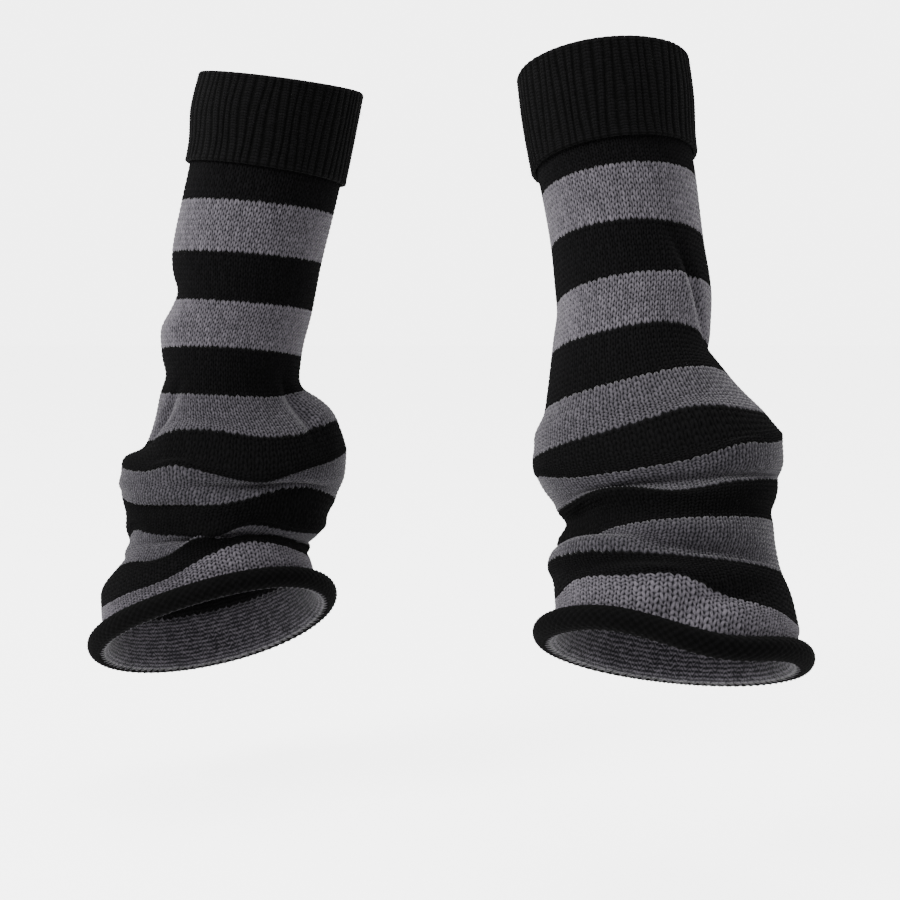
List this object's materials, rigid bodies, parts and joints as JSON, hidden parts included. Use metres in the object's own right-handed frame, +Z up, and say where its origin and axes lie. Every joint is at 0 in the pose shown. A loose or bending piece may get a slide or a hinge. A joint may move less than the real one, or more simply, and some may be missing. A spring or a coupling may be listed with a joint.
{
  "type": "pair of leg warmers",
  "caption": "Pair of slouched knitted leg warmers with wide stripes, a turned-down ribbed cuff at the calf and a rolled hem at the ankle, in worn form and hollow.",
  "frame": {"origin": "middle of the grip of the wearer's right cuff, on the calf's axis", "axes": "+Z up, -Y the way the wearer faces, +X towards the wearer's left leg"},
  "size_m": [0.498, 0.4323, 0.4697],
  "materials": {
    "grey_yarn": "soft heathered acrylic knit in wide grey and black stripes",
    "black_yarn": "soft black acrylic rib knit"
  },
  "bodies": {
    "root": {"right_tube": "grey_yarn", "right_cuff": "black_yarn", "left_tube": "grey_yarn", "left_cuff": "black_yarn"}
  },
  "joints": []
}
